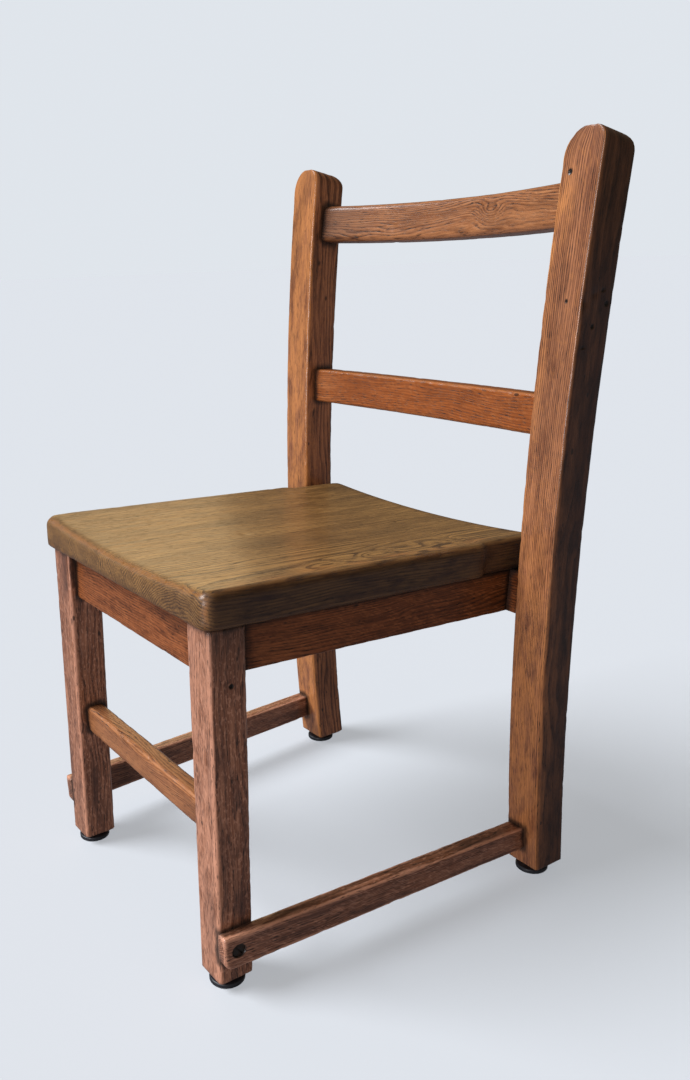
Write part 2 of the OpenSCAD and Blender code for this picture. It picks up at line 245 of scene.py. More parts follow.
def board_space(pith, order=(0, 1, 2)):
    """A function that turns a block's points into (across, through, along), measured from the pith."""
    return lambda p: p[:, list(order)] - np.array([*pith, 0])


def wooden_piece(node, slot, size, radius, step, shape, board, seed, nicks=40, fine=((), (), ()), depth=1.0,
                 rounding=round_off, holes=(), stained=(), stain_reach=1.0, dark=(), faded=(), pale_faces=(),
                 knots=(), fuller=0.0):
    """One wooden member: a block, rounded, bent into place by shape, worn, and standing for its solid.

    shape turns the block's own points into the chair's; board turns them into the board's
    (across, through, along) as measured from the middle of the tree. fine adds mesh lines along each
    side. holes are (axis, place of the face, middle, radius, depth). Faces in stained and spots in dark
    are darker: old staining, together with painted shade where they lie in shade. Spots in faded and
    faces in pale_faces are paler: fading of the wood, together with painted light on faces that catch
    the light. knots are spots around which the rings bulge, by their amount. fuller is added all round
    the section.
    """
    lip, dirty_lip = 0.25 * MM, 1.1 * MM
    flat, faces, to_arris = shell(size, radius, step, fine)
    local = rounding(flat, size, radius)
    pit = np.zeros(len(local))
    for axis, face_at, middle, reach, sink in holes:
        across = [a for a in range(3) if a != axis]
        away = np.linalg.norm(local[:, across] - np.array(middle), axis=1)
        on_face = abs(flat[:, axis] - face_at) < SAME
        inside = on_face * np.clip((reach + lip - away) / (2 * lip), 0, 1)
        local[:, axis] += np.where(face_at > 0, -1, 1) * inside * sink
        pit = np.maximum(pit, on_face * np.clip((reach + dirty_lip - away) / MM, 0, 1))
    section = local.copy()
    section[:, :2] += fuller * (2 * flat[:, :2] / np.array(size[:2]) - 1)
    piece = mesh_object(f"oak_{node}", shape(section), faces)
    mesh = piece.data
    from_pith = board(local)
    from_pith[:, 1] += in_spots(flat, knots, np.add)
    own_space = local + seed * 0.37  # so that no two pieces are worn alike
    wear_down(mesh, own_space, to_arris, seed, nicks, depth)
    add_layer(mesh, "board", from_pith)
    add_layer(mesh, "arris", to_arris / MM)
    add_layer(mesh, "crevice", crevices(node, read_points(mesh)))
    add_layer(mesh, "pit", pit)
    # Darker layer: old staining, together with painted shade on faces and spots that lie in shade.
    stain = np.maximum(on_faces(flat, size, stained, radius * stain_reach), in_spots(flat, dark))
    add_layer(mesh, "stain", stain)
    # Paler layer: fading of the wood, together with painted light on faces that catch the light.
    add_layer(mesh, "faded", np.maximum(in_spots(flat, faded), on_faces(flat, size, pale_faces, radius)))
    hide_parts(node)


# ---- the members ----

def post_face(z):
    """Y of the front face of a back post at height z."""
    return POST_FRONT + POST_RADIUS - np.sqrt(POST_RADIUS ** 2 - (z - BEND_Z) ** 2)


def in_seat_frame(x, y, z):
    """From the seat's own tilted space, with its front bottom edge at zero, to the chair's."""
    return np.stack([x, SEAT_FRONT + y * math.cos(SEAT_TILT) + z * math.sin(SEAT_TILT),
                     SEAT_Z - y * math.sin(SEAT_TILT) + z * math.cos(SEAT_TILT)], 1)


def narrow(value, middle, factor):
    return middle + (value - middle) * factor


def bevel_foot(p, width, depth):
    """Across and through positions with the foot's bevel taken off all round."""
    cut = np.clip(FOOT_BEVEL - p[:, 2], 0, None)
    return (narrow(p[:, 0], width / 2, 1 - cut / (width / 2)),
            narrow(p[:, 1], depth / 2, 1 - cut / (depth / 2)))


def turn_in(height, top, radius):
    """How far a corner of this radius, ending at top, has turned in at each height."""
    up = np.clip(height - (top - radius), 0, radius)
    return radius - np.sqrt(radius ** 2 - up ** 2)


def back_post(side_name, seed, pith, **marks):
    """A bent post. Its top falls backwards and is rounder on the chair's right-hand side."""
    node = f"rear_post_{side_name}"
    low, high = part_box(node)
    width, tall = high.x - low.x, high.z - low.z
    wide_round, tight_round, back_round = 19 * MM, 10 * MM, 12 * MM
    fall, fall_starts = math.tan(math.radians(11.5)), 60 * MM  # below the top

    def shape(p):
        x, y = bevel_foot(p, width, POST_DEPTH)
        over = np.clip(p[:, 2] / wide_round - tall / wide_round + 1, 0, 1)
        height = np.minimum(p[:, 2], tall - wide_round) + wide_round * np.sin(over * math.pi / 2)
        right = turn_in(height, tall, wide_round)
        left = turn_in(height, tall, tight_round)
        x = right + x * (width - right - left) / width
        y = y * (1 - turn_in(height, tall, back_round) / POST_DEPTH)
        z = low.z + height - fall * y * np.clip(height / fall_starts - tall / fall_starts + 1, 0, 1)
        bent = POST_FRONT + POST_RADIUS - np.sqrt((POST_RADIUS - y) ** 2 - (z - BEND_Z) ** 2)
        return np.stack([low.x + x, bent, z], 1)

    wooden_piece(node, "frame_oak", (width, POST_DEPTH, tall), 3 * MM, (2 * MM, 2 * MM, 2.2 * MM),
                 shape, board_space(pith), seed, 90, fuller=FULLER, depth=0.8, **marks)


def front_leg(side_name, seed, pith, **marks):
    node = f"front_leg_{side_name}"
    side = SIDES[side_name]
    low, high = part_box(node)
    tall = high.z - low.z
    outer, inner = (high.x, low.x) if side > 0 else (low.x, high.x)
    foot = np.array([outer - side * LEG_SIDE / 2, low.y + LEG_SIDE / 2])
    head = np.array([inner + side * LEG_SIDE / 2, high.y - LEG_SIDE / 2])

    def shape(p):
        x, y = bevel_foot(p, LEG_SIDE, LEG_SIDE)
        middle = foot + (head - foot) * (p[:, 2] / tall)[:, None]
        y = middle[:, 1] + y - LEG_SIDE / 2
        under_seat = SEAT_Z - (y - SEAT_FRONT) * math.tan(SEAT_TILT) - SEAT_GAP
        z = low.z + p[:, 2] * (under_seat - low.z) / tall
        return np.stack([middle[:, 0] + x - LEG_SIDE / 2, y, z], 1)

    wooden_piece(node, "frame_oak", (LEG_SIDE, LEG_SIDE, tall), 3 * MM, (1.8 * MM, 1.8 * MM, 2 * MM),
                 shape, board_space(pith), seed, 60, fuller=FULLER, depth=0.8, **marks)


def back_rail(node, z, bow, more_lean, radius, seed, pith, **marks):
    lean = math.asin((z - BEND_Z) / POST_RADIUS) + math.radians(more_lean)
    length = POSTS_APART + 2 * HOUSED
    half = POSTS_APART / 2 + 4 * MM  # its bow is measured a little inside the posts
    bend = (half ** 2 + bow ** 2) / (2 * bow)

    def shape(p):
        x = p[:, 0] - length / 2
        y = np.sqrt((bend + p[:, 1]) ** 2 - x ** 2) - (bend - bow)
        up = p[:, 2] - RAIL_HEIGHT / 2
        return np.stack([x, post_face(z) + RAIL_SET_BACK + y * math.cos(lean) + up * math.sin(lean),
                         z - y * math.sin(lean) + up * math.cos(lean)], 1)

    wooden_piece(node, "rail_oak", (length, RAIL_THICK, RAIL_HEIGHT), radius, (2 * MM, 2 * MM, 2 * MM),
                 shape, board_space(pith, (2, 1, 0)), seed, 40, **marks)


def apron(node, low, high, seed, pith, along=0, **marks):
    """A straight member of the seat frame, between two corners in the seat's own space."""
    low, high = np.array(low), np.array(high)
    size = high - low
    board = board_space(pith, (2, 1, 0) if along == 0 else (2, 0, 1))
    beside_seat = (size[2] - 5 * MM, 3 * MM, 1 * MM)

    def shape(p):
        x, y, z = (p + low).T
        return in_seat_frame(x, y, z)

    # The top strip just under the seat is darkened: a painted shadow of the overhanging seat.
    wooden_piece(node, "frame_oak", size, 1.3 * MM, (2.4 * MM, 2.4 * MM, 2.4 * MM), shape, board, seed, 30,
                 fine=((), (), (beside_seat,)), stained=((2, 1, 1.0),), stain_reach=3.2, **marks)


def front_stretcher(seed, pith):
    low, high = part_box("front_stretcher")
    leg_low, leg_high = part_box("front_leg_left")
    part = ((low.z + high.z) / 2 - leg_low.z) / (leg_high.z - leg_low.z)
    inner = leg_high.x - LEG_SIDE + (leg_low.x + LEG_SIDE - leg_high.x) * part
    corner = np.array([-inner - HOUSED, low.y, low.z])
    size = np.array([2 * (inner + HOUSED), high.y - low.y, high.z - low.z])

    wooden_piece("front_stretcher", "rail_oak", size, 4.5 * MM, (2 * MM, 2 * MM, 2 * MM),
                 lambda p: p + corner, board_space(pith, (2, 1, 0)), seed, 40)


def side_stretcher(side_name, plan, heights, seed, pith, **marks):
    """A low stretcher. plan is its inner and outer X at the front and at the back; heights are its
    bottom and top at the front, then at the back."""
    node = f"side_stretcher_{side_name}"
    side = SIDES[side_name]
    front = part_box(node)[0].y
    rear_joint_z = 45 * MM
    back = float(post_face(rear_joint_z)) + HOUSED
    length = back - front
    (in_front, out_front), (in_back, out_back) = plan
    (low_front, high_front), (low_back, high_back) = heights
    thick = out_front - in_front
    tall = high_front - low_front
    screw_low, screw_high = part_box("stretcher_screws")
    screw = (screw_low + screw_high) / 2
    screw_at = np.array([screw.y - front, screw.z - low_front])
    head_radius, head_sink, around_head = 5.7 * MM, 2.6 * MM, 7 * MM
    toe = 8 * MM  # rounding of the front end's lower corner

    def shape(p):
        share = p[:, 1] / length
        across, up = p[:, 0] / thick, p[:, 2] / tall
        if side < 0:
            across = 1 - across
        inner = in_front + (in_back - in_front) * share
        outer = out_front + (out_back - out_front) * share
        low = low_front + (low_back - low_front) * share
        high = high_front + (high_back - high_front) * share
        x = inner + (outer - inner) * across
        z = low + (high - low) * up
        short = np.clip(toe - (z - low_front), 0, toe)
        near_end = np.clip(1 - p[:, 1] / (2 * toe), 0, 1)
        y = np.maximum(p[:, 1], 0) + (toe - np.sqrt(toe ** 2 - short ** 2)) * near_end
        return np.stack([side * x, front + y, z], 1)

    face_at = thick if side > 0 else 0
    fine = ((), *(((place, around_head, 0.5 * MM),) for place in screw_at))
    wooden_piece(node, "frame_oak", (thick, length, tall), 2 * MM, (1.8 * MM, 2.2 * MM, 2 * MM),
                 shape, board_space(pith, (2, 0, 1)), seed, 50, fine=fine,
                 holes=[(0, face_at, screw_at, head_radius, head_sink)], **marks)


def seat_half_width(y):
    """Half the seat's width y back from its front edge: narrower beside the posts."""
    start = NOTCH_Y - SEAT_CORNER
    turn = np.sqrt(np.clip(SEAT_CORNER ** 2 - np.clip(y - start, 0, SEAT_CORNER) ** 2, 0, None))
    return np.maximum(SEAT_WIDTH / 2 - SEAT_CORNER + turn, SEAT_WIDTH / 2 - SEAT_NOTCH)


def seat_rounding(flat, size, _):
    """Rounds the seat's corners in plan, then its arrises: wide along the top edges, small below."""
    size = np.array(size)
    half = size[:2] / 2
    xy = flat[:, :2] - half
    inner = np.clip(xy, SEAT_CORNER - half, half - SEAT_CORNER)
    out = (xy - inner) / SEAT_CORNER
    length = np.maximum(np.linalg.norm(out, axis=1), TINY)
    out *= (abs(out).max(1) / length)[:, None]
    depth_in = SEAT_CORNER * (1 - np.linalg.norm(out, axis=1))
    way = out / np.maximum(np.linalg.norm(out, axis=1), TINY)[:, None]
    xy = inner + out * SEAT_CORNER
    z = flat[:, 2].copy()
    front_share = np.clip((-xy[:, 1] - half[1] + 2.5 * SEAT_CORNER) / (2 * SEAT_CORNER), 0, 1)
    top_radius = (7 + 2 * front_share) * MM
    for radius, sign in ((top_radius, 1), (np.full(len(z), SEAT_UNDER_ROUND), -1)):
        height = z if sign > 0 else size[2] - z
        up = np.clip(height - (size[2] - radius), 0, None) / radius
        over = np.clip(radius - depth_in, 0, None) / radius
        bent = (up > 0) & (over > 0)
        length = np.maximum(np.hypot(up, over), TINY)
        scale = np.where(bent, np.maximum(up, over) / length, 1)
        xy += way * (np.where(bent, radius * over * (scale - 1), 0))[:, None]
        height = np.where(bent, size[2] - radius + radius * up * scale, height)
        z = height if sign > 0 else size[2] - height
    return np.column_stack([xy + half, z])


def seat_board(seed, pith):
    size = (SEAT_WIDTH, SEAT_DEPTH, SEAT_THICK)
    half = SEAT_WIDTH / 2
    dish_radius = (half ** 2 + SEAT_DISH ** 2) / (2 * SEAT_DISH)

    def shape(p):
        x, y = p[:, 0] - half, p[:, 1]
        x = x * seat_half_width(y) / half
        drop = np.clip(SEAT_DISH - (dish_radius - np.sqrt(dish_radius ** 2 - x ** 2)), 0, None)
        z = p[:, 2] - drop * p[:, 2] / SEAT_THICK
        return in_seat_frame(x, y, z)

    def board(p):
        x = p[:, 0] - half
        return np.stack([x, p[:, 2], p[:, 1]], 1) - np.array([*pith, 0])

    knots = [((x * MM, y * MM, SEAT_THICK), (12 * MM, 20 * MM, 40 * MM), rise * MM)
             for x, y, rise in ((262, 118, 5.5), (254, 172, 7), (268, 205, 4), (250, 238, 6))]
    worn_through = ((274, 26, 14, 0.9), (272, 62, 18, 0.7), (270, 104, 16, 0.95), (273, 140, 12, 0.8),
                    (268, 178, 18, 0.9), (272, 222, 14, 0.7), (268, 262, 16, 0.8))
    faded = [((x * MM, y * MM, SEAT_THICK), (6 * MM, long * MM, 7 * MM), much)
             for x, y, long, much in worn_through]
    faded.append(((SEAT_WIDTH, 0, 14 * MM), (5 * MM, 5 * MM, 12 * MM), 0.9))
    # Darker faces: old staining, together with painted shade on the sides, front, back and underside.
    wooden_piece("seat", "seat_oak", size, 9 * MM, (2.6 * MM, 2.6 * MM, 2.2 * MM), shape, board, seed, 70,
                 rounding=seat_rounding, knots=knots, faded=faded,
                 dark=(((250 * MM, 0, 12 * MM), (44 * MM, 8 * MM, 24 * MM), 0.7),),
                 stained=((0, 1, 1.0), (0, 0, 0.6), (1, 0, 0.35), (1, 1, 0.8), (2, 0, 0.95)), stain_reach=1.6)


def lathe(name, profile, at, turns=64):
    """A round piece from its closed (radius, height) profile, open at the axis."""
    profile = np.array(profile)
    angles = np.linspace(0, 2 * math.pi, turns, endpoint=False)
    points = np.stack([np.outer(np.cos(angles), profile[:, 0]), np.outer(np.sin(angles), profile[:, 0]),
                       np.broadcast_to(profile[:, 1], (turns, len(profile)))], -1).reshape(-1, 3)
    count = len(profile)
    ring, next_ring = np.arange(turns)[:, None] * count, (np.arange(turns)[:, None] + 1) % turns * count
    step, next_step = np.arange(count)[None, :], (np.arange(count)[None, :] + 1) % count
    faces = np.stack([ring + step, next_ring + step, next_ring + next_step, ring + next_step], -1)
    return mesh_object(name, points + np.array(at), faces.reshape(-1, 4))


def glide(node, seed):
    """Moulded rubber foot pad with a rounded rim and a sunk middle for its nail."""
    low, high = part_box(node)
    middle = (low + high) / 2
    radius, thick = (high.x - low.x) / 2, high.z - low.z
    rim = 1.3 * MM
    hole = 3.7 * MM

    def turn(centre, first, last):
        steps = np.radians(np.linspace(first, last, 6))
        return [(centre[0] + rim * math.cos(a), centre[1] + rim * math.sin(a)) for a in steps]

    bottom = [(r * MM, 0) for r in (4.4, 6.5, 9, 11)]
    wall = [(radius - 0.1 * MM, h * MM) for h in (1.8, 2.4)]
    top = [(r * MM, thick) for r in (11, 8, 5)]
    profile = ([(hole, 0.5 * MM)] + bottom + turn((radius - rim, rim), -90, 0) + wall
               + turn((radius - rim, thick - rim), 0, 90) + top + [(hole, thick)])
    piece = lathe(f"rubber_{node}", profile, (middle.x, middle.y, low.z))
    add_layer(piece.data, "board", read_points(piece.data) + seed * 0.5)
    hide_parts(node)


def make_chair():
    pin_holes = [(axis, face_at * MM, (across * MM, up * MM), radius * MM)
                 for axis, face_at, across, up, radius in (
                     (1, 0, 9, 573.5, 1.5), (1, 0, 21, 489, 0.9), (0, 35, 14, 471.4, 1.3),
                     (0, 35, 26, 486.3, 1.7), (0, 35, 20.5, 495.7, 1), (0, 35, 6.5, 457.4, 0.9))]
    back_post("left", 11, (-120 * MM, -14 * MM),
              holes=[(*hole, 0.7 * MM) for hole in pin_holes],
              fine=(((9 * MM, 2.4 * MM, 0.6 * MM), (21 * MM, 1.8 * MM, 0.6 * MM)),
                    ((14 * MM, 2.4 * MM, 0.6 * MM), (26 * MM, 2.4 * MM, 0.6 * MM)),
                    tuple((middle[1], 2.6 * MM, 0.7 * MM) for _, _, middle, _ in pin_holes)),
              # Darker faces: old staining, together with painted shade on the faces turned away from the
              # light.
              stained=((0, 1, 1.0), (1, 1, 0.6), (0, 0, 0.3)),
              faded=(((6 * MM, 0, 548 * MM), (9 * MM, 12 * MM, 26 * MM), 0.9),
                     ((3 * MM, 0, 520 * MM), (6 * MM, 12 * MM, 16 * MM), 0.9),
                     ((4 * MM, 0, 440 * MM), (6 * MM, 12 * MM, 60 * MM), 0.5),
                     ((16 * MM, 0, 150 * MM), (24 * MM, 12 * MM, 150 * MM), 0.9)),
              dark=(((18 * MM, 0, 430 * MM), (30 * MM, 10 * MM, 85 * MM), 0.3),))
    # Back and outer faces darker: old staining with painted shade. Front face paler: painted light where it
    # faces the light.
    back_post("right", 12, (150 * MM, -25 * MM), stained=((1, 1, 0.6), (0, 0, 0.6)),
              pale_faces=((1, 0, 0.75),),
              faded=(((18 * MM, 0, 300 * MM), (22 * MM, 12 * MM, 170 * MM), 0.9),
                     ((16 * MM, 0, 500 * MM), (14 * MM, 12 * MM, 60 * MM), 0.8)))
    # The front face is paler: a painted sheen where it faces the light.
    front_leg("left", 21, (-95 * MM, -30 * MM), pale_faces=((1, 0, 0.55),),
              # Dark spot at the top of the side face: a painted shadow of the seat.
              dark=(((30 * MM, 17 * MM, 296 * MM), (12 * MM, 22 * MM, 34 * MM), 0.85),),
              holes=[(0, 30 * MM, (17 * MM, 251 * MM), 1.5 * MM, 1.2 * MM)],
              fine=((), ((17 * MM, 2.6 * MM, 0.6 * MM),), ((251 * MM, 2.6 * MM, 0.6 * MM),)))
    # The front face is a little paler: a painted sheen where it faces the light.
    front_leg("right", 22, (110 * MM, -20 * MM), pale_faces=((1, 0, 0.15),))
    back_rail("top_rail", 559 * MM, 19 * MM, 4, 4.5 * MM, 31, (-22 * MM, -38 * MM),
              stained=((0, 0, 0.75),), stain_reach=16,
              knots=(((205 * MM, 0, 18 * MM), (14 * MM, 20 * MM, 8 * MM), 7 * MM),
                     ((95 * MM, 0, 8 * MM), (24 * MM, 20 * MM, 7 * MM), 4 * MM)))
    back_rail("mid_rail", 410 * MM, 6 * MM, 0, 3 * MM, 32, (60 * MM, -46 * MM),
              faded=(((14 * MM, 0, 14 * MM), (26 * MM, 12 * MM, 14 * MM), 0.6),),
              knots=(((150 * MM, 0, 4 * MM), (40 * MM, 20 * MM, 10 * MM), 5 * MM),))
    # The front face is paler: painted light where it faces the light.
    apron("front_apron", (-109 * MM, 14 * MM, -42 * MM), (109 * MM, 34 * MM, -SEAT_GAP), 41,
          (-70 * MM, -40 * MM), pale_faces=((1, 0, 0.4),))
    apron("rear_apron", (-149 * MM, 299 * MM, -37 * MM), (149 * MM, 319 * MM, -SEAT_GAP), 42,
          (-60 * MM, -50 * MM))
    for side_name, side, seed in (("left", 1, 43), ("right", -1, 44)):
        x = sorted((side * 113 * MM, side * 133 * MM))
        apron(f"side_apron_{side_name}", (x[0], 34 * MM, -37 * MM), (x[1], 300.5 * MM, -SEAT_GAP), seed,
              (-30 * MM, 55 * MM), along=1,
              faded=(((x[1] - x[0], 24 * MM, 16 * MM), (8 * MM, 42 * MM, 18 * MM), 0.5),))
    front_stretcher(51, (-48 * MM, 40 * MM))
    # The outer face is a little darker: old staining with painted shade.
    side_stretcher("left", ((139.5 * MM, 151.5 * MM), (148.7 * MM, 166.7 * MM)),
                   ((27 * MM, 57 * MM), (26 * MM, 48 * MM)), 52, (-60 * MM, 34 * MM), stained=((0, 1, 0.15),))
    side_stretcher("right", ((139.5 * MM, 152 * MM), (165 * MM, 180.5 * MM)),
                   ((32 * MM, 62 * MM), (31 * MM, 57 * MM)), 53, (-50 * MM, 40 * MM))
    seat_board(61, (112 * MM, -34 * MM))
    for count, corner in enumerate(("front_left", "front_right", "rear_left", "rear_right")):
        glide(f"glide_{corner}", count + 1)


# ---- building materials ----

def put(tree, kind, inputs=None, **settings):
    """A new node with its settings, and each input either linked or set."""
    made = tree.nodes.new(kind)
    for key, value in settings.items():
        setattr(made, key, value)
    for key, value in (inputs or {}).items():
        if isinstance(value, bpy.types.NodeSocket):
            tree.links.new(value, made.inputs[key])
        else:
            made.inputs[key].default_value = value
    return made


def calc(tree, operation, *values, clamp=False):
    made = put(tree, "ShaderNodeMath", dict(enumerate(values)), operation=operation, use_clamp=clamp)
    return made.outputs[0]


def stretch(tree, vector, across, along):
    """The board's own space with its grain drawn out: more detail across than along."""
    made = put(tree, "ShaderNodeVectorMath", {0: vector, 1: (across, across, along)}, operation="MULTIPLY")
    return made.outputs[0]


def cloud(tree, vector, detail=2.0, roughness=0.5, scale=1.0):
    inputs = {"Vector": vector, "Scale": scale, "Detail": detail, "Roughness": roughness}
    return put(tree, "ShaderNodeTexNoise", inputs).outputs["Fac"]


def ramp(tree, value, low, high, start=0.0, end=1.0):
    """Smooth step from start at low to end at high."""
    inputs = {"Value": value, "From Min": low, "From Max": high, "To Min": start, "To Max": end}
    return put(tree, "ShaderNodeMapRange", inputs, interpolation_type="SMOOTHSTEP").outputs[0]


def blend_colour(tree, share, first, second, mode="MIX"):
    made = put(tree, "ShaderNodeMix", {0: share, 6: first, 7: second}, data_type="RGBA", blend_type=mode)
    return made.outputs[2]


def new_group(name, inputs, outputs):
    """An empty shader node group with its sockets, its input node's outputs and its output node."""
    group = bpy.data.node_groups.new(name, "ShaderNodeTree")
    for label, value in inputs.items():
        vector = value is None
        socket = group.interface.new_socket(label, in_out="INPUT",
                                            socket_type="NodeSocketVector" if vector else "NodeSocketFloat")
        if not vector:
            socket.default_value = value
    for label in outputs:
        group.interface.new_socket(label, in_out="OUTPUT", socket_type="NodeSocketFloat")
    given = group.nodes.new("NodeGroupInput").outputs
    result = group.nodes.new("NodeGroupOutput").inputs
    return group, given, result


def oak_grain_group():
    """Growth rings around the middle of the tree, fibres, open pores in the early wood, pale ray flecks."""
    group, given, result = new_group(
        "oak_grain", {"Board": None, "Ring Width": 2.0, "Wander": 1.0, "Pores": 1.0, "Coarseness": 1.0},
        ("Ring", "Fibre", "Pore", "Fleck", "Height"))
    board = given["Board"]
    moved = board
    for across, along, share in ((22, 4.5, 0.014), (110, 20, 0.0016)):
        drift = put(group, "ShaderNodeTexNoise",
                    {"Vector": stretch(group, board, across, along), "Scale": 1.0, "Detail": 2.0})
        drift = put(group, "ShaderNodeVectorMath", {0: drift.outputs["Color"], 1: (0.5, 0.5, 0.5)},
                    operation="SUBTRACT").outputs[0]
        reach = calc(group, "MULTIPLY", given["Wander"], share)
        drift = put(group, "ShaderNodeVectorMath", {0: drift, "Scale": reach}, operation="SCALE").outputs[0]
        moved = put(group, "ShaderNodeVectorMath", {0: moved, 1: drift}, operation="ADD").outputs[0]
    flat = put(group, "ShaderNodeVectorMath", {0: moved, 1: (1, 1, 0)}, operation="MULTIPLY").outputs[0]
    radius = put(group, "ShaderNodeVectorMath", {0: flat}, operation="LENGTH").outputs["Value"]
    width = calc(group, "MULTIPLY", given["Ring Width"], MM)
    uneven = cloud(group, stretch(group, board, 48, 2.5), 2.0)
    rings = calc(group, "ADD", calc(group, "DIVIDE", radius, width), calc(group, "MULTIPLY", uneven, 2.6))
    phase = calc(group, "FRACT", rings)
    early = calc(group, "MULTIPLY", ramp(group, phase, 0.0, 0.12), ramp(group, phase, 0.75, 0.15))
    clear = ramp(group, cloud(group, stretch(group, board, 75, 9), 3.0, 0.6), 0.3, 0.68)
    early = calc(group, "MULTIPLY", early, calc(group, "MULTIPLY_ADD", clear, 0.65, 0.38))
    shrink = calc(group, "DIVIDE", 1.0, given["Coarseness"])
    close = put(group, "ShaderNodeVectorMath", {0: moved, "Scale": shrink}, operation="SCALE").outputs[0]
    fibre = cloud(group, stretch(group, close, 1500, 45), 3.0, 0.7)
    streak = cloud(group, stretch(group, close, 620, 16), 3.0, 0.65)
    pore = ramp(group, cloud(group, stretch(group, close, 1450, 130), 1.0), 0.55, 0.66)
    porous = calc(group, "MULTIPLY_ADD", early, 0.9, 0.28)
    pore = calc(group, "MULTIPLY", calc(group, "MULTIPLY", pore, porous), given["Pores"], clamp=True)
    slanted = put(group, "ShaderNodeVectorRotate", {"Vector": board, "Angle": math.radians(24)},
                  rotation_type="Y_AXIS").outputs[0]
    fleck = ramp(group, cloud(group, stretch(group, slanted, 560, 150), 1.5, 0.6), 0.54, 0.62)
    group.links.new(early, result["Ring"])
    line = cloud(group, stretch(group, close, 900, 4), 2.0, 0.7)
    fibres = calc(group, "MULTIPLY_ADD", fibre, 0.28, calc(group, "MULTIPLY", streak, 0.2))
    group.links.new(calc(group, "MULTIPLY_ADD", line, 0.52, fibres), result["Fibre"])
    group.links.new(pore, result["Pore"])
    group.links.new(fleck, result["Fleck"])
    low = calc(group, "MULTIPLY_ADD", early, -0.35, calc(group, "MULTIPLY", fibre, 0.6))
    group.links.new(calc(group, "SUBTRACT", low, pore), result["Height"])
    return group


def worn_arris_group():
    """Where hands and shoes rubbed the varnish off: ragged strips along the arrises, thinning inwards."""
    group, given, result = new_group("worn_arris", {"Board": None, "Arris": 10.0, "Reach": 3.0},
                                     ("Rubbed", "Polish"))
    rough = cloud(group, stretch(group, given["Board"], 110, 26), 3.0, 0.6)
    patch = cloud(group, stretch(group, given["Board"], 30, 10), 2.0)
    reach = calc(group, "MULTIPLY", given["Reach"], calc(group, "MULTIPLY_ADD", rough, 2.4, -0.3))
    reach = calc(group, "MULTIPLY", reach, calc(group, "MULTIPLY_ADD", patch, 1.8, 0.1))
    share = calc(group, "DIVIDE", given["Arris"], calc(group, "MAXIMUM", reach, 0.05))
    group.links.new(ramp(group, share, 1.25, 0.35), result["Rubbed"])
    group.links.new(ramp(group, given["Arris"], 5.5, 1.0), result["Polish"])
    return group


def grime_and_shade_group():
    """Dark dirt and old polish packed into the joints, together with painted shade where members meet,
    thinning out over a few millimetres.
    """
    group, given, result = new_group("grime", {"Board": None, "Crevice": 0.0}, ("Dirt",))
    rough = cloud(group, stretch(group, given["Board"], 170, 90), 3.0, 0.6)
    level = calc(group, "MULTIPLY_ADD", rough, 0.7, calc(group, "SUBTRACT", given["Crevice"], 0.35))
    group.links.new(ramp(group, level, 0.3, 0.95), result["Dirt"])
    return group


def patches_group():
    """Broad changes of colour along a board, and blotches where the staining took unevenly."""
    group, given, result = new_group("patches", {"Board": None}, ("Broad", "Blotch", "Smoke"))
    group.links.new(cloud(group, stretch(group, given["Board"], 26, 7), 2.0), result["Broad"])
    group.links.new(cloud(group, stretch(group, given["Board"], 130, 34), 4.0, 0.62), result["Blotch"])
    group.links.new(cloud(group, stretch(group, given["Board"], 55, 13), 3.0, 0.55), result["Smoke"])
    return group


def knocks_group():
    """Small dark dents and pin holes scattered over a board."""
    group, given, result = new_group("knocks", {"Board": None, "Share": 0.4}, ("Mark",))
    place = stretch(group, given["Board"], 85, 42)
    spots = put(group, "ShaderNodeTexVoronoi", {"Vector": place, "Scale": 1.0, "Randomness": 1.0})
    pick = put(group, "ShaderNodeSeparateColor", {0: spots.outputs["Color"]}).outputs
    size = calc(group, "MULTIPLY_ADD", pick[1], 0.1, 0.035)
    mark = ramp(group, calc(group, "DIVIDE", spots.outputs["Distance"], size), 1.2, 0.6)
    chosen = calc(group, "LESS_THAN", pick[0], given["Share"])
    group.links.new(calc(group, "MULTIPLY", mark, chosen), result["Mark"])
    return group


def attribute(tree, name, what="Fac"):
    return put(tree, "ShaderNodeAttribute", attribute_name=name).outputs[what]


def place_group(tree, group, **inputs):
    named = {name.replace("_", " "): value for name, value in inputs.items()}
    return put(tree, "ShaderNodeGroup", named, node_tree=group).outputs


def colour(red, green, blue):
    return (red, green, blue, 1)


# Near-black brown: old staining, and also the painted shade on faces and places that lie in shade.
OLD_STAIN_AND_SHADE = colour(0.026, 0.0078, 0.003)
PORE_DIRT = colour(0.012, 0.006, 0.004)
DENT_DIRT = colour(0.01, 0.006, 0.005)
# Joint colour: dirt, and also painted shade where members meet.
JOINT_DIRT_AND_SHADE = colour(0.011, 0.006, 0.004)
HOLE_DIRT = colour(0.006, 0.004, 0.003)


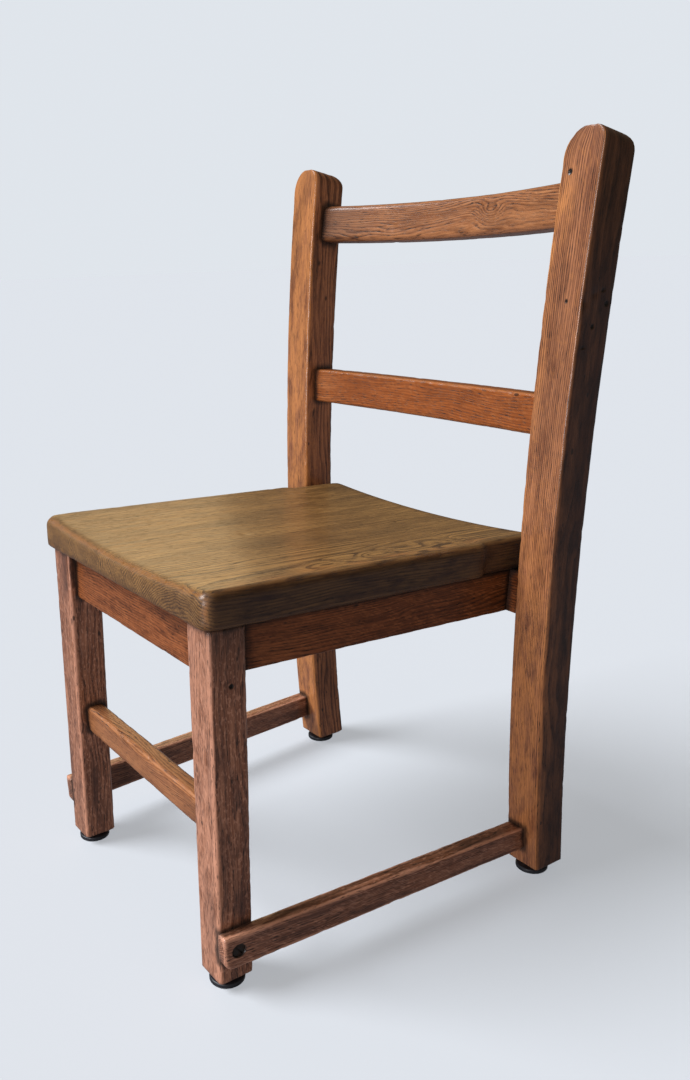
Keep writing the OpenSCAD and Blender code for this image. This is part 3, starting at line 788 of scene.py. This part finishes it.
def oak_material(name, groups, deep, body, pale, rubbed, ring_width=2.0, wander=1.0, ring_depth=0.65,
                 reach=2.4, gloss=0.42, smoke=0.5, pores=1.0, rub_share=0.6, fleck=0.25, coat=0.25,
                 coarse=1.0, shine=0.35):
    """Old varnished oak. deep, body and pale are its staining from dark to light; rubbed is bare, oiled wood,
    and is also the colour of the painted light on faces that catch the light.
    """
    material = bpy.data.materials.new(name)
    material.use_nodes = True
    tree = material.node_tree
    tree.nodes.clear()
    board = attribute(tree, "board", "Vector")
    grain = place_group(tree, groups["grain"], Board=board, Ring_Width=ring_width, Wander=wander, Pores=pores,
                        Coarseness=coarse)
    worn = place_group(tree, groups["worn"], Board=board, Arris=attribute(tree, "arris"), Reach=reach)
    tone = place_group(tree, groups["patches"], Board=board)
    knocks = place_group(tree, groups["knocks"], Board=board)
    dirt_and_shade = place_group(tree, groups["grime"], Board=board, Crevice=attribute(tree, "crevice"))

    # Stained wood: pale to dark patches, flecks, darker rings, smoky places
    light = calc(tree, "MULTIPLY_ADD", tone["Broad"], 0.5, calc(tree, "MULTIPLY", tone["Blotch"], 0.5))
    light = calc(tree, "ADD", light, calc(tree, "MULTIPLY_ADD", grain["Fibre"], 2.9, -1.55))
    shade = blend_colour(tree, ramp(tree, light, 0.05, 0.75), body, pale)
    shade = blend_colour(tree, calc(tree, "MULTIPLY", grain["Fleck"], fleck), shade, rubbed)
    shade = blend_colour(tree, calc(tree, "MULTIPLY", grain["Ring"], ring_depth), shade, deep)
    smoky = calc(tree, "MULTIPLY", ramp(tree, tone["Smoke"], 0.46, 0.7), smoke)
    shade = blend_colour(tree, smoky, shade, deep)

    # Paler spots of fading wood, with painted light on faces that catch the light; places where the old dark
    # staining is whole, with painted shade on faces that lie in shade; and arrises rubbed bare
    fade_and_light = calc(tree, "MULTIPLY", attribute(tree, "faded"), ramp(tree, tone["Blotch"], 0.3, 0.6))
    fade_and_light = calc(tree, "MULTIPLY", fade_and_light, calc(tree, "MULTIPLY_ADD", grain["Ring"], -0.6, 1.0))
    shade = blend_colour(tree, fade_and_light, shade, rubbed)
    kept = calc(tree, "MULTIPLY_ADD", attribute(tree, "faded"), -1.0, 1.0, clamp=True)
    old = calc(tree, "MULTIPLY", attribute(tree, "stain"), ramp(tree, tone["Blotch"], 0.05, 0.6, 1.25, 0.75))
    old = calc(tree, "MULTIPLY", old, kept, clamp=True)
    shade = blend_colour(tree, old, shade, OLD_STAIN_AND_SHADE)
    rub = calc(tree, "MULTIPLY", worn["Rubbed"], rub_share)
    unstained = calc(tree, "MULTIPLY_ADD", attribute(tree, "stain"), -0.9, 1.0)
    rub = calc(tree, "MULTIPLY", rub, unstained, clamp=True)
    shade = blend_colour(tree, rub, shade, rubbed)

    # Dark dirt in pores, dents and holes; in the joints, dirt together with painted shade
    shade = blend_colour(tree, calc(tree, "MULTIPLY", grain["Pore"], 0.8), shade, PORE_DIRT)
    shade = blend_colour(tree, calc(tree, "MULTIPLY", knocks["Mark"], 0.8), shade, DENT_DIRT)
    shade = blend_colour(tree, calc(tree, "MULTIPLY", dirt_and_shade["Dirt"], 0.85), shade, JOINT_DIRT_AND_SHADE)
    shade = blend_colour(tree, attribute(tree, "pit"), shade, HOLE_DIRT)

    rough = calc(tree, "MULTIPLY_ADD", tone["Blotch"], 0.3, gloss - 0.15)
    rough = calc(tree, "MULTIPLY_ADD", grain["Pore"], 0.25, rough)
    rough = calc(tree, "MULTIPLY_ADD", worn["Polish"], -0.16, rough)
    rough = calc(tree, "MULTIPLY_ADD", attribute(tree, "stain"), 0.18, rough)
    rough = calc(tree, "MULTIPLY_ADD", attribute(tree, "pit"), 0.4, rough)
    rough = calc(tree, "MULTIPLY_ADD", dirt_and_shade["Dirt"], 0.25, rough, clamp=True)

    height = calc(tree, "MULTIPLY_ADD", knocks["Mark"], -1.5, grain["Height"])
    height = calc(tree, "MULTIPLY_ADD", tone["Blotch"], 0.8, height)
    bump = put(tree, "ShaderNodeBump", {"Strength": 0.6, "Distance": 0.2 * MM, "Height": height})
    shader = put(tree, "ShaderNodeBsdfPrincipled", {
        "Base Color": shade, "Roughness": rough, "Normal": bump.outputs[0], "IOR": 1.5,
        "Specular IOR Level": shine, "Coat Weight": coat, "Coat Roughness": 0.2, "Coat IOR": 1.5})
    put(tree, "ShaderNodeOutputMaterial", {0: shader.outputs[0]})
    return material


def steel_material(name, base, rust, gloss):
    """Old steel, dulled, with a little rust; placed by where it is in the chair."""
    material = bpy.data.materials.new(name)
    material.use_nodes = True
    tree = material.node_tree
    tree.nodes.clear()
    place = put(tree, "ShaderNodeTexCoord").outputs["Object"]
    spots = ramp(tree, cloud(tree, stretch(tree, place, 420, 420), 4.0, 0.6), 0.5, 0.68)
    shade = blend_colour(tree, spots, base, rust)
    rough = calc(tree, "MULTIPLY_ADD", spots, 0.3, gloss, clamp=True)
    scratches = cloud(tree, stretch(tree, place, 1500, 1500), 2.0)
    bump = put(tree, "ShaderNodeBump", {"Strength": 0.4, "Distance": 0.08 * MM, "Height": scratches})
    shader = put(tree, "ShaderNodeBsdfPrincipled", {
        "Base Color": shade, "Metallic": 0.85, "Roughness": rough, "Normal": bump.outputs[0]})
    put(tree, "ShaderNodeOutputMaterial", {0: shader.outputs[0]})
    return material


def rubber_material():
    """Hard black rubber, scuffed grey where it slides."""
    material = bpy.data.materials.new("scuffed_rubber")
    material.use_nodes = True
    tree = material.node_tree
    tree.nodes.clear()
    board = attribute(tree, "board", "Vector")
    scuff = ramp(tree, cloud(tree, stretch(tree, board, 260, 900), 3.0, 0.6), 0.52, 0.75)
    shade = blend_colour(tree, calc(tree, "MULTIPLY", scuff, 0.6), colour(0.012, 0.014, 0.019),
                         colour(0.06, 0.063, 0.07))
    rough = calc(tree, "MULTIPLY_ADD", scuff, 0.25, 0.42)
    fine = cloud(tree, stretch(tree, board, 1300, 1300), 2.0)
    bump = put(tree, "ShaderNodeBump", {"Strength": 0.35, "Distance": 0.1 * MM, "Height": fine})
    shader = put(tree, "ShaderNodeBsdfPrincipled", {"Base Color": shade, "Roughness": rough,
                                                    "Normal": bump.outputs[0]})
    put(tree, "ShaderNodeOutputMaterial", {0: shader.outputs[0]})
    return material


def finish_chair():
    """Gives every piece its material; the screws and nails keep their solids."""
    groups = {"grain": oak_grain_group(), "worn": worn_arris_group(), "grime": grime_and_shade_group(),
              "patches": patches_group(), "knocks": knocks_group()}

    def oak(name, stains, **looks):
        return oak_material(name, groups, *(colour(*stain) for stain in stains), **looks)

    post_oak = oak("post_oak", ((0.07, 0.023, 0.012), (0.19, 0.068, 0.032), (0.47, 0.195, 0.09),
                                (0.60, 0.24, 0.075)),
                   ring_width=1.9, ring_depth=0.85, coat=0.5, shine=0.2)
    leg_oak = oak("leg_oak", ((0.06, 0.019, 0.01), (0.20, 0.067, 0.028), (0.45, 0.20, 0.112),
                              (0.62, 0.30, 0.19)),
                  wander=1.5, smoke=0.8, fleck=0.6, pores=1.5, rub_share=1.0, reach=3.2, coat=0.4)
    apron_oak = oak("apron_oak", ((0.03, 0.008, 0.003), (0.115, 0.031, 0.008), (0.25, 0.074, 0.022),
                                  (0.36, 0.12, 0.04)),
                    wander=1.8, reach=1.4, shine=0.2, coat=0.12, fleck=0.45)
    top_rail_oak = oak("top_rail_oak", ((0.09, 0.028, 0.01), (0.24, 0.085, 0.03), (0.42, 0.175, 0.068),
                                        (0.46, 0.2, 0.09)),
                       wander=2.2, ring_width=1.6, ring_depth=0.8)
    rail_oak = oak("rail_oak", ((0.11, 0.027, 0.006), (0.22, 0.057, 0.011), (0.35, 0.098, 0.02),
                                (0.42, 0.16, 0.055)),
                   wander=1.8, ring_width=1.8, ring_depth=0.5)
    seat_oak = oak("seat_oak", ((0.055, 0.025, 0.009), (0.17, 0.083, 0.024), (0.42, 0.222, 0.069),
                                (0.38, 0.155, 0.045)),
                   ring_width=2.4, wander=1.4, gloss=0.4, reach=4.5, fleck=0.08, ring_depth=0.95,
                   coarse=1.15, smoke=0.35, shine=0.4)
    by_word = (("post", post_oak), ("leg", leg_oak), ("apron", apron_oak), ("top_rail", top_rail_oak),
               ("rail", rail_oak), ("front_stretcher", top_rail_oak), ("side_stretcher", leg_oak),
               ("seat", seat_oak), ("rubber", rubber_material()))
    for piece in bpy.data.objects:
        if piece.name.startswith(("oak_", "rubber_")):
            piece.data.materials.clear()
            piece.data.materials.append(next(made for word, made in by_word if word in piece.name))
    dull = steel_material("blackened_steel", colour(0.05, 0.042, 0.036), colour(0.07, 0.026, 0.012), 0.38)
    plain = steel_material("plain_steel", colour(0.42, 0.41, 0.4), colour(0.16, 0.08, 0.045), 0.3)
    for node, made in (("stretcher_screws", dull), ("seat_screws", dull), ("glide_nails", plain)):
        solid = frame["nodes"][node].data
        solid.materials.clear()
        solid.materials.append(made)


# ---- studio ----

def soft_light(name, place, target, size, power, tint):
    lamp = bpy.data.lights.new(name, "AREA")
    lamp.shape, lamp.size, lamp.size_y = "RECTANGLE", *size
    lamp.energy, lamp.color = power, tint
    holder = bpy.data.objects.new(name, lamp)
    bpy.context.scene.collection.objects.link(holder)
    holder.location = place
    holder.rotation_euler = (Vector(target) - Vector(place)).to_track_quat("-Z", "Y").to_euler()
    holder.visible_camera = False
    return holder


def studio():
    """A pale floor out to the horizon, wide soft daylight from the front, and a dim warm room."""
    floor_mesh = bpy.data.meshes.new("floor")
    reach = 60.0
    corners = [(-reach, -reach, 0), (reach, -reach, 0), (reach, reach, 0), (-reach, reach, 0)]
    floor_mesh.from_pydata(corners, [], [(0, 1, 2, 3)])
    floor = bpy.data.objects.new("floor", floor_mesh)
    bpy.context.scene.collection.objects.link(floor)
    made = bpy.data.materials.new("pale_floor")
    made.use_nodes = True
    tree = made.node_tree
    tree.nodes.clear()
    seen = put(tree, "ShaderNodeLightPath").outputs["Is Camera Ray"]
    shade = blend_colour(tree, seen, colour(0.11, 0.108, 0.118), colour(0.3835, 0.3965, 0.4195))
    diffuse = put(tree, "ShaderNodeBsdfDiffuse", {"Color": shade})
    put(tree, "ShaderNodeOutputMaterial", {0: diffuse.outputs[0]})
    floor_mesh.materials.append(made)

    world = bpy.data.worlds.new("studio")
    world.use_nodes = True
    tree = world.node_tree
    tree.nodes.clear()
    room = put(tree, "ShaderNodeBackground", {"Color": colour(1.0, 0.82, 0.58), "Strength": 0.13})
    backdrop = put(tree, "ShaderNodeBackground", {"Color": colour(0.745, 0.785, 0.835), "Strength": 1.0})
    seen = put(tree, "ShaderNodeLightPath").outputs["Is Camera Ray"]
    mixed = put(tree, "ShaderNodeMixShader", {0: seen, 1: room.outputs[0], 2: backdrop.outputs[0]})
    put(tree, "ShaderNodeOutputWorld", {0: mixed.outputs[0]})
    bpy.context.scene.world = world

    day = bpy.data.lights.new("daylight", "SUN")
    day.energy, day.angle, day.color = 3.8, math.radians(32), (0.93, 0.96, 1.0)
    holder = bpy.data.objects.new("daylight", day)
    bpy.context.scene.collection.objects.link(holder)
    towards_sky = Vector((-0.45, -0.70, 0.85))
    holder.rotation_euler = towards_sky.to_track_quat("Z", "Y").to_euler()

    chair = bpy.data.collections.new("chair")
    for solid in bpy.data.objects:
        if solid.type == "MESH" and solid is not floor:
            chair.objects.link(solid)
    window = soft_light("window", place=(0.8, -2.45, 0.65), target=(0, 0, 0.45), size=(0.7, 1.3),
                        power=36, tint=(0.99, 0.94, 0.97))
    wall = soft_light("warm_wall", place=(-2.2, 0.72, 0.95), target=(0, 0, 0.33), size=(1.1, 0.9),
                      power=5.5, tint=(1.0, 0.72, 0.38))
    for holder in (window, wall):
        holder.light_linking.receiver_collection = chair

    ground = bpy.data.collections.new("ground")
    ground.objects.link(floor)
    fill = bpy.data.lights.new("floor_fill", "SUN")
    fill.energy, fill.color = 3.3, (0.96, 0.98, 1.0)
    fill.use_shadow = False
    fill.cycles.cast_shadow = False
    holder = bpy.data.objects.new("floor_fill", fill)
    bpy.context.scene.collection.objects.link(holder)
    holder.light_linking.receiver_collection = ground
    bpy.context.scene.view_settings.view_transform = "Standard"


def camera():
    """The viewing angle: in front of the chair, to its left and a little above."""
    turn, rise, roll = math.radians(57.61), math.radians(22.48), math.radians(-2.09)
    target = Vector((-3.45, -40.1, 202.18)) * MM
    away = 850.62 * MM
    back = Vector((math.sin(turn) * math.cos(rise), -math.cos(turn) * math.cos(rise), math.sin(rise)))
    right = Vector((math.cos(turn), math.sin(turn), 0))
    up = back.cross(right)
    rolled_right = right * math.cos(roll) + up * math.sin(roll)
    rolled_up = up * math.cos(roll) - right * math.sin(roll)
    eye = bpy.data.cameras.new("camera")
    eye.sensor_fit, eye.sensor_height = "VERTICAL", 36
    eye.lens = 31.868
    eye.shift_x, eye.shift_y = 0.0805, 0.10864
    eye.clip_start = 0.01
    holder = bpy.data.objects.new("camera", eye)
    bpy.context.scene.collection.objects.link(holder)
    turned = Matrix((rolled_right, rolled_up, back)).transposed().to_4x4()
    holder.matrix_world = Matrix.Translation(target + back * away) @ turned
    bpy.context.scene.camera = holder


camera()
make_chair()
finish_chair()
studio()
